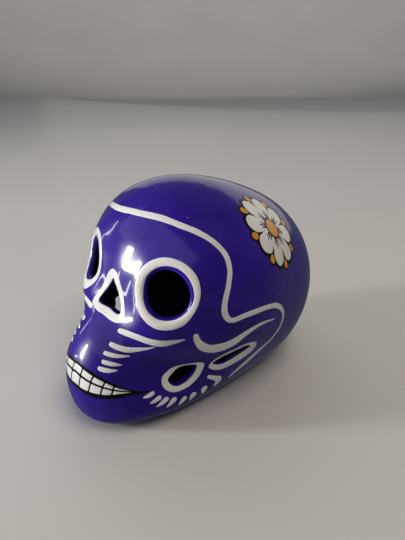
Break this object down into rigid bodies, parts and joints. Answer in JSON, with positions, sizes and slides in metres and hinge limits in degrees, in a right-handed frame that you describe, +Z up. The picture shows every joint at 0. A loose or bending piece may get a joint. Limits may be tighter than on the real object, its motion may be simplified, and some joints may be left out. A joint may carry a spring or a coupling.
{
  "type": "ceramic skull figure",
  "caption": "Hollow ceramic skull figure with a rounded cranium, open round eyes, triangular nose, openings under the cheeks and a flat underside it stands on.",
  "frame": {"origin": "under the middle of the bounding box, on the plane the figure stands on", "axes": "+Z up, the face looks along -Y, the figure's left side is +X"},
  "size_m": [0.1154, 0.1599, 0.112],
  "materials": {
    "painted_clay": "hand-painted fired clay under a glossy clear coat"
  },
  "bodies": {
    "root": {"skull": "painted_clay"}
  },
  "joints": []
}
